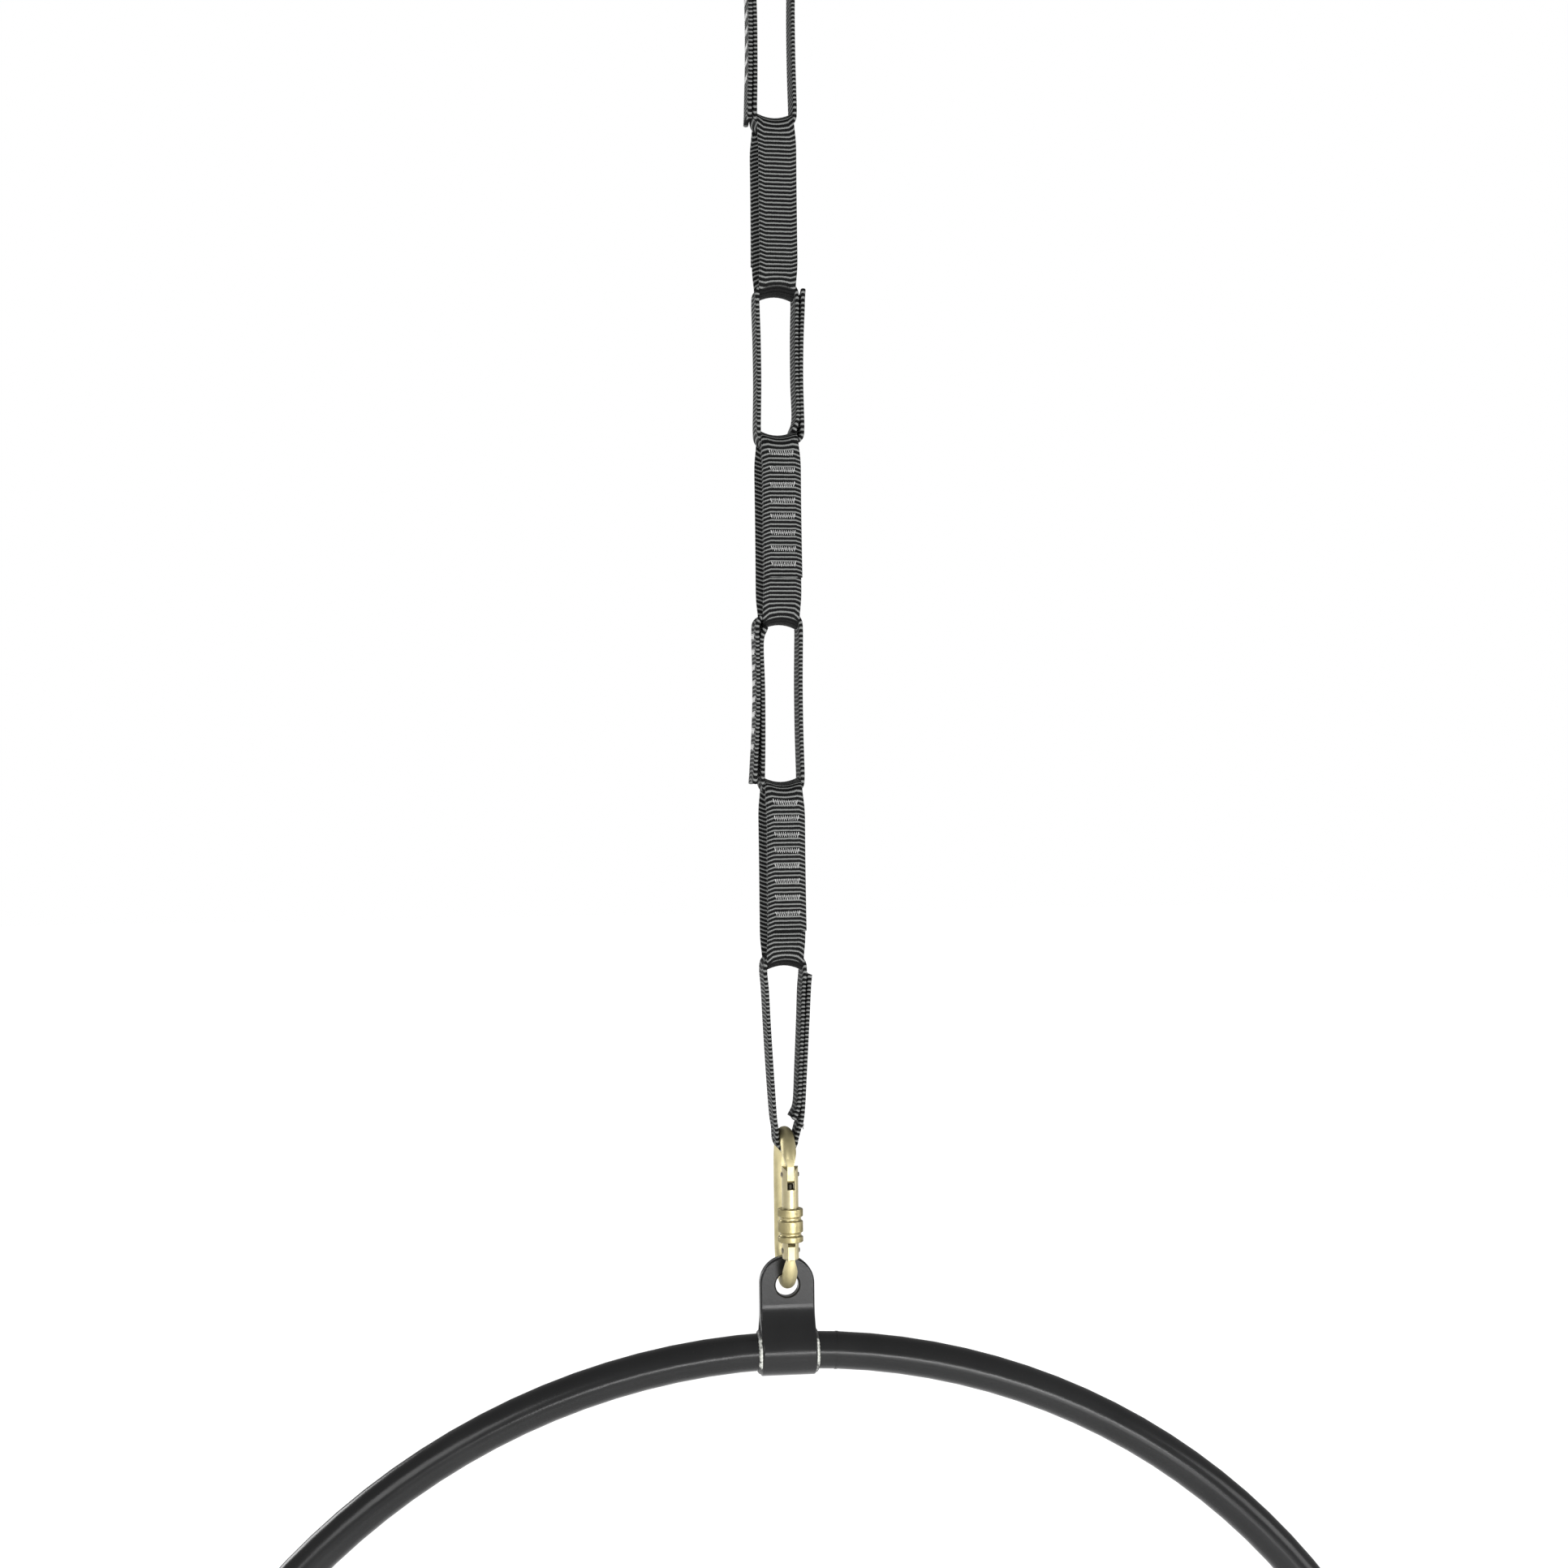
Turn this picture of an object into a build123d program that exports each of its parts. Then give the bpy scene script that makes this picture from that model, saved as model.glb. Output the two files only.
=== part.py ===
from build123d import *
import math
import os

# Aerial hoop on a chain of sewn webbing loops, hung from a ball-bearing swivel.
# Frame: +Z up, the hoop lies in the XZ plane, its front faces -Y. The origin is the
# centre of the swivel's upper eye. All sizes in millimetres.

# ---- Hoop -------------------------------------------------------------------------
hoop_outer_diameter = 950.0
hoop_tube_diameter = 25.0
hoop_tube_wall = 2.0
joint_angle = 4.1            # where the bent tube's ends meet, degrees right of the top
joint_gap = 1.6              # root gap that the butt weld fills
joint_weld_rise = 0.25       # how far the dressed weld stands proud of the tube
spigot_length = 60.0
spigot_wall = 2.0
spigot_clearance = 0.1

# ---- Hanger: a flat strap folded round the tube -----------------------------------
hanger_width = 37.0
hanger_thickness = 4.0
hanger_leg_gap = 0.3         # between the strap's two legs
hanger_hole_play = 5.7       # hole wider than the rod in it
hanger_hole_height = 44.6    # hole centre above the tube's centre
hanger_end_rise = 0.8        # centre of the round end above the hole's centre
hanger_bend_height = 24.0    # where the legs part to go round the tube
hanger_hole_chamfer = 1.0
hanger_bend_radius = 24.0    # outer side of the bend where a leg turns round the tube
hanger_edge_radius = 1.3
hanger_clearance = 0.05
weld_leg = 3.0
weld_root = 2.0              # how far the bead reaches into the tube's surface

# ---- Carabiners -------------------------------------------------------------------
carabiner_length = 109.0
carabiner_width = 56.5
rod_diameter = 10.0
gate_diameter = 11.0
hinge_below_arc = 0.75       # hinge pin below the top arc's centre
latch_above_arc = 1.35       # latch pin above the bottom arc's centre
nose_below_latch = 6.7       # the frame's cut end below the latch pin
gate_end_gap = 0.6
hinge_end_gap = 0.4
tongue_thickness = 4.5
tongue_set_in = 0.9          # tongue narrower than the gate, each side
tongue_end_radius = 6.0      # round end about the hinge pin
tongue_side_clearance = 0.2
neck_length = 9.0            # the rod tapers down to the tongue over this length
nose_top_clearance = 1.5     # latch tongue below the unscrewed sleeve
nose_corner = 1.5
nose_lean = 1.6              # the tongue's root leans back to the rod
nose_front_clearance = 0.4   # tongue behind the gate's front
hinge_slot_depth = 9.9       # below the hinge pin
latch_slot_end = 9.6         # above the latch pin
hinge_pin_diameter = 3.0
latch_pin_diameter = 2.5
pin_press_clearance = 0.02
pin_running_clearance = 0.06
gate_edge = 0.7
latch_side_clearance = 0.3
latch_lift_clearance = 0.7
rivet_head_radius = 2.2
rivet_seat_depth = 0.5
rivet_head_rise = 0.6
rivet_seat_clearance = 0.1
rivet_head_taper = 0.55
spring_bore_diameter = 4.6
spring_bore_depth = 18.0
spring_wire = 0.5
spring_turns = 9
spring_side_clearance = 0.25
spring_end_gap = 0.4
plunger_length = 8.0
plunger_gap = 0.1
plunger_edge = 0.5

# ---- Locking sleeve ---------------------------------------------------------------
sleeve_diameter = 16.8
sleeve_groove_diameter = 14.4
sleeve_above_latch = 5.5     # bottom of the unscrewed sleeve above the latch pin
sleeve_bands = (4.1, 2.4, 7.8, 2.6, 5.5)   # ring, groove, centre band, groove, ring
sleeve_travel = 9.0
sleeve_clearance = 0.1
sleeve_edge = 0.6
sleeve_rivet_clearance = 0.25
sleeve_step = 0.8            # height of the step inside the sleeve

# ---- Webbing links, from the top down ---------------------------------------------
webbing_width = 25.0
webbing_thickness = 2.7
webbing_end_inset = 0.8      # the curled ends are narrower, each side
end_taper = 10.0
curl_radius = 25.0
loop_side_clearance = 1.8    # between a leg and the web linked through
leg_straight = 12.0          # narrowing legs stay parallel this far from the web
link_gap = 0.8               # between two linked webs at their crowns
rod_gap = 0.3                # between a webbing bight and a carabiner rod
bight_straight = 4.0         # bight legs stay parallel this far past the rod's centre
link_lengths = (122.0, 116.0, 114.0, 101.0, 122.0, 113.0, 118.0, 122.5)
tail_lengths = (95.0, 112.0, 94.0, 98.0, 94.0, 108.0, 97.0, 98.0)
tail_sides = (-1, -1, 1, 1, -1, -1, -1, 1)      # which leg is doubled by the splice
tails_up = (False, False, False, True, False, False, False, True)
tack_count = 8
tack_width = 16.4
tack_height = 3.3
tack_thickness = 0.6
tack_pitch = 10.6
tack_start = 10.9            # first tack from the splice's root
splice_start = 2.0           # the doubled layer's first edge from the root
splice_bond = 0.2            # how far the doubled layers press into each other

# ---- Swivel -----------------------------------------------------------------------
eye_hole_radius = 11.0
eye_ring_width = 8.0
upper_eye_thickness = 14.0
upper_eye_rounding = 2.0
lower_eye_thickness = 12.0
lower_eye_rounding = 3.6
neck_drop = 2.0              # the upper eye's neck reaches this far into the barrel
housing_diameter = 34.0
housing_top = 21.0           # below the upper eye's centre
housing_length = 31.0
cavity_diameter = 26.0
cavity_depth = 27.0
shaft_diameter = 10.0
shaft_clearance = 0.05
housing_rounding = 3.0
cap_flange = 3.0
cap_spigot = 7.0
cap_clearance = 0.02
cap_edge = 1.0
cap_bore_clearance = 1.0
race_thickness = 3.0
race_clearance = 0.2
ball_diameter = 5.0
ball_count = 10
ball_circle_diameter = 18.0
ball_groove_clearance = 0.1
race_gap = 3.4               # between the two races' faces
nut_across_flats = 17.0
nut_height = 8.0
shaft_stub = 0.8             # shaft end above the nut
shoulder_gap = 1.2
shoulder_height = 5.0
shoulder_diameter = 22.0
shoulder_edge = 1.0
shoulder_bond = 2.0          # the shoulder's middle above the eye ring's top
shaft_bond = 3.0             # how far the shaft runs down into the eye's ring
eye_contact_gap = 0.3        # between a rod and the eye it hangs in
hole_contact_gap = 0.5       # between the rod and the hanger's hole

# ---- Derived sizes; the carabiner's heights are above its bottom rod's centre --------
tube_radius = hoop_tube_diameter / 2
hoop_radius = (hoop_outer_diameter - hoop_tube_diameter) / 2
rod_radius = rod_diameter / 2
rod_span = carabiner_length - rod_diameter
arc_radius = (carabiner_width - rod_diameter) / 2
gate_radius = gate_diameter / 2
tongue_half_width = gate_radius - tongue_set_in
hinge_height = rod_span - arc_radius - hinge_below_arc
latch_height = arc_radius + latch_above_arc
nose_height = latch_height - nose_below_latch
sleeve_bottom_height = latch_height + sleeve_above_latch
nose_top = sleeve_bottom_height - nose_top_clearance
hanger_hole_diameter = rod_diameter + hanger_hole_play
hinge_face_height = hinge_height + gate_radius + hinge_end_gap
gate_bottom = nose_height + gate_end_gap
sleeve_length = sum(sleeve_bands)
webbing_end_width = webbing_width - 2 * webbing_end_inset
half_loop = webbing_end_width / 2 + loop_side_clearance
upper_eye_radius = eye_hole_radius + eye_ring_width

# ---- Heights, from the top down ---------------------------------------------------
cavity_roof = -housing_top - housing_length + cavity_depth
housing_bottom = -housing_top - housing_length
cap_bottom = housing_bottom - cap_flange
lower_race_bottom = housing_bottom + cap_spigot
ball_centre = lower_race_bottom + race_thickness + race_gap / 2
upper_race_bottom = lower_race_bottom + race_thickness + race_gap
nut_bottom = upper_race_bottom + race_thickness
shoulder_top = cap_bottom - shoulder_gap
lower_eye_centre = shoulder_top - shoulder_height / 2 - upper_eye_radius + shoulder_bond
upper_rod_top = lower_eye_centre - eye_hole_radius + eye_contact_gap + rod_radius
upper_rod_bottom = upper_rod_top - rod_span


def stack_links():
    """Inner heights of every link's two ends, as (top, bottom)."""
    ends = []
    top = upper_rod_bottom + rod_radius + rod_gap
    for length in link_lengths:
        ends.append((top, top - length))
        top = top - length + link_gap
    return ends


link_ends = stack_links()
lower_rod_top = link_ends[-1][1] + rod_gap + rod_radius
lower_rod_bottom = lower_rod_top - rod_span
hanger_hole_centre = lower_rod_bottom + rod_radius + hole_contact_gap - hanger_hole_diameter / 2
hoop_top = hanger_hole_centre - hanger_hole_height
hoop_centre = hoop_top - hoop_radius

UPPER_CARABINER = Pos(0, 0, upper_rod_bottom)
LOWER_CARABINER = Pos(0, 0, lower_rod_bottom) * Rot(0, 0, -90)

os.makedirs("parts", exist_ok=True)


# ---- Helpers ----------------------------------------------------------------------
def bar(direction, radius, length, centre):
    """A cylinder along X, Y or Z, centred on a point."""
    turn = {"X": Rot(0, 90, 0), "Y": Rot(90, 0, 0), "Z": Rot()}[direction]
    return Pos(*centre) * turn * Cylinder(radius, length)


def block(low, high):
    """A box between two corners."""
    size = [b - a for a, b in zip(low, high)]
    middle = [(a + b) / 2 for a, b in zip(low, high)]
    return Pos(*middle) * Box(*size)


def ring_sector(ring_radius, section, centre_z, start, sweep):
    """A round section turned about Y; angles in degrees from +X towards +Z."""
    face = Plane.XY * Pos(ring_radius, 0) * section
    turned = revolve(face, Axis.Y, -sweep)
    return Pos(0, 0, centre_z) * Rot(0, -start, 0) * turned


def prism(points, plane, depth):
    """A polygon extruded both ways from its plane by half the depth."""
    return extrude(plane * make_face(Polyline(*points, close=True)), depth / 2, both=True)


def turned_profile(points):
    """A polygon of (radius, height) pairs turned about the Z axis."""
    return revolve(Plane.XZ * make_face(Polyline(*points, close=True)), Axis.Z, 360)


# ---- Hoop -------------------------------------------------------------------------
def hoop_stretch(outer, inner, start, sweep):
    """A stretch of hollow tube on the hoop's circle; angles from +X towards +Z."""
    section = Circle(outer) - Circle(inner)
    return ring_sector(hoop_radius, section, hoop_centre, start, sweep)


def degrees_on_hoop(length):
    return math.degrees(length / hoop_radius)


joint_direction = 90 - joint_angle
gap_angle = degrees_on_hoop(joint_gap)
tube_bore_radius = tube_radius - hoop_tube_wall


def hoop_tube():
    start = joint_direction + gap_angle / 2
    return hoop_stretch(tube_radius, tube_bore_radius, start, 360 - gap_angle)


def hoop_butt_weld():
    outer = tube_radius + joint_weld_rise
    return hoop_stretch(outer, tube_bore_radius, joint_direction - gap_angle / 2, gap_angle)


def hoop_joint_sleeve():
    outer = tube_bore_radius - spigot_clearance
    angle = degrees_on_hoop(spigot_length)
    return hoop_stretch(outer, outer - spigot_wall, joint_direction - angle / 2, angle)


def hoop_solid(radius):
    """The hoop's outer shape, for cutting what wraps round it."""
    return ring_sector(hoop_radius, Circle(radius), hoop_centre, 60, 60)


def hanger_section(radius, apex_height, leg_half):
    """Outline of a strap folded round the tube, seen along the tube."""
    half_angle = math.asin(radius / apex_height)
    side = radius * math.cos(half_angle)
    rise = radius * math.sin(half_angle)
    peak = Polyline((-side, rise), (0, apex_height), (side, rise), close=True)
    wrap = Circle(radius) + make_face(peak)
    if leg_half:
        low = apex_height - radius
        top = hanger_hole_height + hanger_end_rise + hanger_width / 2
        wrap += Pos(0, (low + top) / 2) * Rectangle(leg_half * 2, top - low)
        bends = [v for v in wrap.vertices() if radius < v.Y < top - 1]
        wrap = fillet(bends, hanger_bend_radius)
    return wrap


def hanger_strap():
    inner_radius = tube_radius + hanger_clearance
    outer_radius = inner_radius + hanger_thickness
    outer_apex = hanger_bend_height * outer_radius / inner_radius
    leg_half = hanger_thickness + hanger_leg_gap / 2
    outer_section = Plane.YZ * hanger_section(outer_radius, outer_apex, leg_half)
    inner_section = Plane.YZ * hanger_section(inner_radius, hanger_bend_height, 0)
    outer = extrude(outer_section, hanger_width / 2, both=True)
    inner = extrude(inner_section, hanger_width, both=True)
    end_centre = hanger_hole_height + hanger_end_rise
    below = 2 * tube_radius
    outline = Pos(0, end_centre) * Circle(hanger_width / 2)
    outline += Pos(0, (end_centre - below) / 2) * Rectangle(hanger_width, end_centre + below)
    strap = outer & extrude(Plane.XZ * outline, 2 * tube_radius, both=True)
    seams = strap.edges().filter_by(Axis.X) + strap.edges().filter_by(Axis.Y)
    strap = fillet([edge for edge in strap.edges() if edge not in seams], hanger_edge_radius)
    strap -= inner
    strap -= block((-hanger_width, -hanger_leg_gap / 2, hanger_bend_height - hanger_leg_gap),
                   (hanger_width, hanger_leg_gap / 2, 2 * hanger_hole_height))
    hole_radius = hanger_hole_diameter / 2
    hole = bar("Y", hole_radius, 4 * leg_half, (0, 0, hanger_hole_height))
    depth = hanger_hole_chamfer
    cone = Cone(hole_radius, hole_radius + depth, depth)
    for side in (-1, 1):
        hole += Pos(0, side * (leg_half - depth / 2), hanger_hole_height) * Rot(-90 * side, 0, 0) * cone
    strap -= hole
    return Pos(0, 0, hoop_top) * strap - hoop_solid(inner_radius)


def hanger_welds():
    """Fillet beads along both edges of the strap's wrap."""
    edge = hanger_width / 2
    root = tube_radius - weld_root
    crown = weld_leg * 0.55
    points = ((root, edge), (tube_radius + weld_leg, edge), (tube_radius + crown, edge + crown),
              (root, edge + weld_leg))
    bead = Rot(0, 0, -90) * revolve(make_face(Polyline(*points, close=True)), Axis.Y, 360)
    beads = Pos(0, 0, hoop_top) * (bead + mirror(bead, Plane.YZ))
    return beads - hoop_solid(tube_radius)


# ---- Carabiner, gate side towards +X, origin at the bottom rod's centre -------------
def neck_cuts(face_height, way):
    """Wedges that taper the rod down to its tongue, from the cut face outwards."""
    half = tongue_thickness / 2
    wide = 1.2 * rod_radius
    far = face_height + way * neck_length * (wide - half) / (rod_radius - half)
    near = face_height - way
    cuts = []
    for side in (-1, 1):
        points = [(side * half, near), (side * half, face_height), (side * wide, far),
                  (side * 2 * wide, far), (side * 2 * wide, near)]
        cuts.append(Pos(arc_radius, 0, 0) * prism(points, Plane.YZ, 2 * arc_radius))
    return cuts


def hinge_tongue():
    top = hinge_face_height + neck_length / 2
    width = 2 * tongue_half_width
    outline = Pos(arc_radius, (hinge_height + top) / 2) * Rectangle(width, top - hinge_height)
    end = Circle(tongue_end_radius) & Rectangle(width, 2 * tongue_end_radius)
    outline += Pos(arc_radius, hinge_height) * end
    arc_centre = rod_span - arc_radius
    within = Pos(0, arc_centre) * Circle(arc_radius + rod_radius)
    within += Pos(arc_radius, arc_centre / 2) * Rectangle(2 * gate_diameter, arc_centre)
    outline &= within
    tongue = extrude(Plane.XZ * outline, tongue_thickness / 2, both=True)
    hole = hinge_pin_diameter / 2 + pin_running_clearance
    return tongue - bar("Y", hole, rod_diameter, (arc_radius, 0, hinge_height))


def latch_tongue():
    low = nose_height - neck_length / 2
    knee = nose_height + gate_end_gap
    shoulder = nose_top - nose_corner
    left = arc_radius - tongue_half_width
    right = arc_radius + tongue_half_width - nose_front_clearance
    points = [(left - nose_lean, low), (left, knee), (left, shoulder), (left + nose_corner, nose_top),
              (right - nose_corner, nose_top), (right, shoulder), (right, knee), (right - nose_lean, low)]
    tongue = prism(points, Plane.XZ, tongue_thickness)
    pin = latch_pin_diameter / 2
    notch_low = latch_height - pin - latch_side_clearance
    notch_high = latch_height + pin + latch_lift_clearance
    notch_end = arc_radius + pin + latch_side_clearance
    return tongue - block((0, -rod_radius, notch_low), (notch_end, rod_radius, notch_high))


def carabiner_frame():
    top_arc = rod_span - arc_radius
    section = Circle(rod_radius)
    frame = ring_sector(arc_radius, section, top_arc, 0, 180)
    frame += ring_sector(arc_radius, section, arc_radius, 180, 180)
    frame += bar("Z", rod_radius, top_arc - arc_radius, (-arc_radius, 0, (top_arc + arc_radius) / 2))
    near = arc_radius / 2
    far = 2 * arc_radius
    frame -= block((near, -rod_diameter, nose_height), (far, rod_diameter, hinge_face_height))
    top_side = block((near, -far, hinge_face_height - 1), (far, far, rod_span))
    bottom_side = block((near, -far, 0), (far, far, nose_height + 1))
    for cut in neck_cuts(hinge_face_height, 1):
        frame -= cut & top_side
    for cut in neck_cuts(nose_height, -1):
        frame -= cut & bottom_side
    return frame + hinge_tongue() + latch_tongue()


def gate():
    body = bar("Z", gate_radius, hinge_height - gate_bottom, (0, 0, (hinge_height + gate_bottom) / 2))
    body = chamfer(body.edges().sort_by(Axis.Z)[0], gate_edge)
    hinge_centre = (0, 0, hinge_height)
    dome = bar("Z", gate_radius, 4 * gate_radius, hinge_centre)
    body += dome & bar("Y", gate_radius, 4 * gate_radius, hinge_centre)
    slot = tongue_thickness / 2 + tongue_side_clearance
    wide = gate_diameter
    hinge_slot_bottom = hinge_height - hinge_slot_depth
    body -= block((-wide, -slot, hinge_slot_bottom), (wide, slot, hinge_height + wide))
    body -= block((-wide, -slot, gate_bottom - 1), (wide, slot, latch_height + latch_slot_end))
    bore_middle = hinge_slot_bottom - spring_bore_depth / 2
    body -= bar("Z", spring_bore_diameter / 2, spring_bore_depth, (0, 0, bore_middle))
    seat = gate_radius - rivet_seat_depth
    seat_radius = rivet_head_radius + rivet_seat_clearance
    for height, diameter in ((hinge_height, hinge_pin_diameter), (latch_height, latch_pin_diameter)):
        body -= bar("Y", diameter / 2 + pin_press_clearance, 2 * wide, (0, 0, height))
        for side in (-1, 1):
            body -= bar("Y", seat_radius, gate_radius, (0, side * (seat + gate_radius / 2), height))
    return Pos(arc_radius, 0, 0) * body


def rivet(diameter, height):
    """A pin across the gate with two domed heads in their seats."""
    seat = gate_radius - rivet_seat_depth + pin_press_clearance
    tip = gate_radius + rivet_head_rise
    pin = bar("Y", diameter / 2, 2 * seat, (0, 0, 0))
    head = Cone(rivet_head_radius, rivet_head_radius * rivet_head_taper, tip - seat)
    for side in (-1, 1):
        pin += Pos(0, side * (seat + tip) / 2, 0) * Rot(-90 * side, 0, 0) * head
    return Pos(arc_radius, 0, height) * pin


def lock_sleeve():
    """Turned sleeve: knurled rings and a centre band with two grooves between them."""
    outer = sleeve_diameter / 2
    groove = sleeve_groove_diameter / 2
    bore = gate_radius + sleeve_clearance
    counterbore = gate_radius + rivet_head_rise + sleeve_rivet_clearance
    closed_bottom = sleeve_bottom_height - sleeve_travel
    counterbore_depth = latch_height + rivet_head_radius + 2 * sleeve_rivet_clearance - closed_bottom
    points = [(counterbore, 0), (outer - sleeve_edge, 0), (outer, sleeve_edge)]
    height = 0
    for index, band in enumerate(sleeve_bands):
        height += band
        last = index == len(sleeve_bands) - 1
        if last:
            points += [(outer, height - sleeve_edge), (outer - sleeve_edge, height)]
        elif index % 2 == 0:
            points += [(outer, height), (groove, height + sleeve_edge)]
        else:
            points += [(groove, height - sleeve_edge), (outer, height)]
    points += [(bore, height), (bore, counterbore_depth + sleeve_step), (counterbore, counterbore_depth)]
    return Pos(arc_radius, 0, sleeve_bottom_height) * turned_profile(points)


def gate_spring():
    radius = spring_bore_diameter / 2 - spring_side_clearance - spring_wire / 2
    floor = hinge_height - hinge_slot_depth - spring_bore_depth + spring_end_gap
    roof = hinge_height - tongue_end_radius - plunger_gap - plunger_length - spring_end_gap
    height = roof - floor - spring_wire
    coil = Helix(height / spring_turns, height, radius)
    wire = Plane(origin=coil @ 0, z_dir=coil % 0) * Circle(spring_wire / 2)
    return Pos(arc_radius, 0, floor + spring_wire / 2) * sweep(wire, path=coil, is_frenet=True)


def spring_plunger():
    radius = spring_bore_diameter / 2 - plunger_gap
    top = hinge_height - tongue_end_radius - plunger_gap
    plunger = bar("Z", radius, plunger_length, (arc_radius, 0, top - plunger_length / 2))
    return chamfer(plunger.edges().group_by(Axis.Z)[-1], plunger_edge)


# ---- Webbing links, loop in the XZ plane, origin at the top web's inner crown -------
def curl(centre_z, radius):
    """The round surface that a curled web follows, along X."""
    return bar("X", radius, 4 * half_loop, (0, 0, centre_z))


def link_side_outline(top, bottom):
    """The webbing's outline seen edge on along X: full width, a little less at its ends."""
    wide = webbing_width / 2
    narrow = webbing_end_width / 2
    return [(-narrow, bottom), (-wide, bottom + end_taper), (-wide, top - end_taper), (-narrow, top),
            (narrow, top), (wide, top - end_taper), (wide, bottom + end_taper), (narrow, bottom)]


def web_band(upward, inner_z):
    """A curled web: what lies between its two curl surfaces, along X."""
    centre = inner_z + upward * curl_radius
    return curl(centre, curl_radius), curl(centre, curl_radius - webbing_thickness)


def leg_line(side, top, length, bight):
    """Outer face of one leg as two (x, z) points, from its top to its bottom."""
    outer = half_loop + webbing_thickness
    if not bight:
        return (side * outer, top), (side * outer, top - length)
    bottom = top - length + rod_radius + rod_gap + bight_straight
    narrow = rod_radius + rod_gap + webbing_thickness
    return (side * outer, top - leg_straight), (side * narrow, bottom)


def splice_frame(length, side, tail_up, bight):
    """Where the doubled leg's outer face runs: start point, unit vector, outward normal."""
    upper, lower = leg_line(side, 0, length, bight)
    start, end = (lower, upper) if tail_up else (upper, lower)
    run = math.hypot(end[0] - start[0], end[1] - start[1])
    along = ((end[0] - start[0]) / run, (end[1] - start[1]) / run)
    way = side if along[1] > 0 else -side
    normal = (along[1] * way, -along[0] * way)
    return start, along, normal


def splice_tail(length, side, tail_up, bight, tail):
    """The second layer of webbing on the doubled leg."""
    start, along, normal = splice_frame(length, side, tail_up, bight)
    points = []
    corners = ((splice_start, -splice_bond), (tail, -splice_bond), (tail, webbing_thickness),
               (splice_start, webbing_thickness))
    for distance, depth in corners:
        points.append((start[0] + along[0] * distance + normal[0] * depth,
                       start[1] + along[1] * distance + normal[1] * depth))
    return prism(points, Plane.XZ, webbing_end_width)


def bar_tacks(length, side, tail_up, bight):
    """Short bars of dense stitching across the doubled leg."""
    start, along, normal = splice_frame(length, side, tail_up, bight)
    tacks = []
    for index in range(tack_count):
        middle = tack_start + index * tack_pitch
        points = []
        for shift, depth in ((-1, 0), (1, 0), (1, tack_thickness), (-1, tack_thickness)):
            distance = middle + shift * tack_height / 2
            out = webbing_thickness + depth
            points.append((start[0] + along[0] * distance + normal[0] * out,
                           start[1] + along[1] * distance + normal[1] * out))
        tacks.append(prism(points, Plane.XZ, tack_width))
    return tacks


def bight(centre_z):
    """The turn of webbing round a rod, following the rod's arc about a centre below."""
    outer = rod_radius + rod_gap + webbing_thickness
    half_turn = Circle(outer) - Circle(rod_radius + rod_gap)
    half_turn &= Pos(0, -outer) * Rectangle(4 * outer, 2 * outer)
    angle = math.degrees(math.asin(webbing_end_width / 2 / arc_radius))
    turned = revolve(Plane.XZ * Pos(0, arc_radius) * half_turn, Axis.X, 2 * angle)
    return Pos(0, 0, centre_z) * Rot(-angle, 0, 0) * turned


def narrowing_outline(wide, narrow, top, narrow_z, floor):
    """Straight from the top, then narrowing to the height where the bight's legs begin."""
    half = [(wide, top), (wide, -leg_straight), (narrow, narrow_z), (narrow, floor)]
    return half + [(-x, z) for x, z in reversed(half)]


def link(length, has_bight):
    """One closed loop; with a bight, its lower end narrows round a rod below."""
    outer = half_loop + webbing_thickness
    reach = 2 * curl_radius
    floor = -length - reach / 4
    side = prism(link_side_outline(reach / 4, floor), Plane.YZ, 4 * half_loop)
    top_inner, top_outer = web_band(1, 0)
    if has_bight:
        rod_centre = -length + rod_radius + rod_gap
        narrow_z = rod_centre + bight_straight
        narrow = rod_radius + rod_gap
        arc_centre = rod_centre - arc_radius
        shell = narrowing_outline(outer, narrow + webbing_thickness, reach / 4, narrow_z, floor)
        window = narrowing_outline(half_loop, narrow, reach / 4, narrow_z, floor)
        cavity = prism(window, Plane.XZ, 2 * webbing_width) - top_inner
        loop = (prism(shell, Plane.XZ, 2 * webbing_width) & side) - top_outer - cavity
        loop -= bar("X", arc_radius, 4 * half_loop, (0, 0, arc_centre))
        loop &= block((-outer, -webbing_width, rod_centre - arc_radius / 2), (outer, webbing_width, reach))
        return loop + bight(arc_centre)
    bottom_inner, bottom_outer = web_band(-1, -length)
    shell = block((-outer, -webbing_width, floor), (outer, webbing_width, reach / 4))
    cavity = block((-half_loop, -webbing_width, floor), (half_loop, webbing_width, reach / 4))
    cavity = cavity - top_inner - bottom_inner
    return (shell & side) - top_outer - bottom_outer - cavity


def place_link(shape, index):
    """Open links lie in the XZ plane and the others across them; the first hangs bight up."""
    top, bottom = link_ends[index]
    if index == 0:
        return Pos(0, 0, bottom) * Rot(0, 0, 90) * Rot(0, 180, 0) * shape
    turn = 90 if index % 2 == 0 else 0
    return Pos(0, 0, top) * Rot(0, 0, turn) * shape


def export_links():
    for index, length in enumerate(link_lengths):
        has_bight = index in (0, len(link_lengths) - 1)
        upside_down = index == 0
        side = -tail_sides[index] if upside_down else tail_sides[index]
        tail_up = tails_up[index] != upside_down
        tail = splice_tail(length, side, tail_up, has_bight, tail_lengths[index])
        webbing = link(length, has_bight) + tail
        tacks = Compound(children=bar_tacks(length, side, tail_up, has_bight))
        name = "link_" + str(index + 1)
        export_step(place_link(webbing, index), "parts/" + name + "_webbing.step")
        export_step(place_link(tacks, index), "parts/" + name + "_tacks.step")


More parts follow.
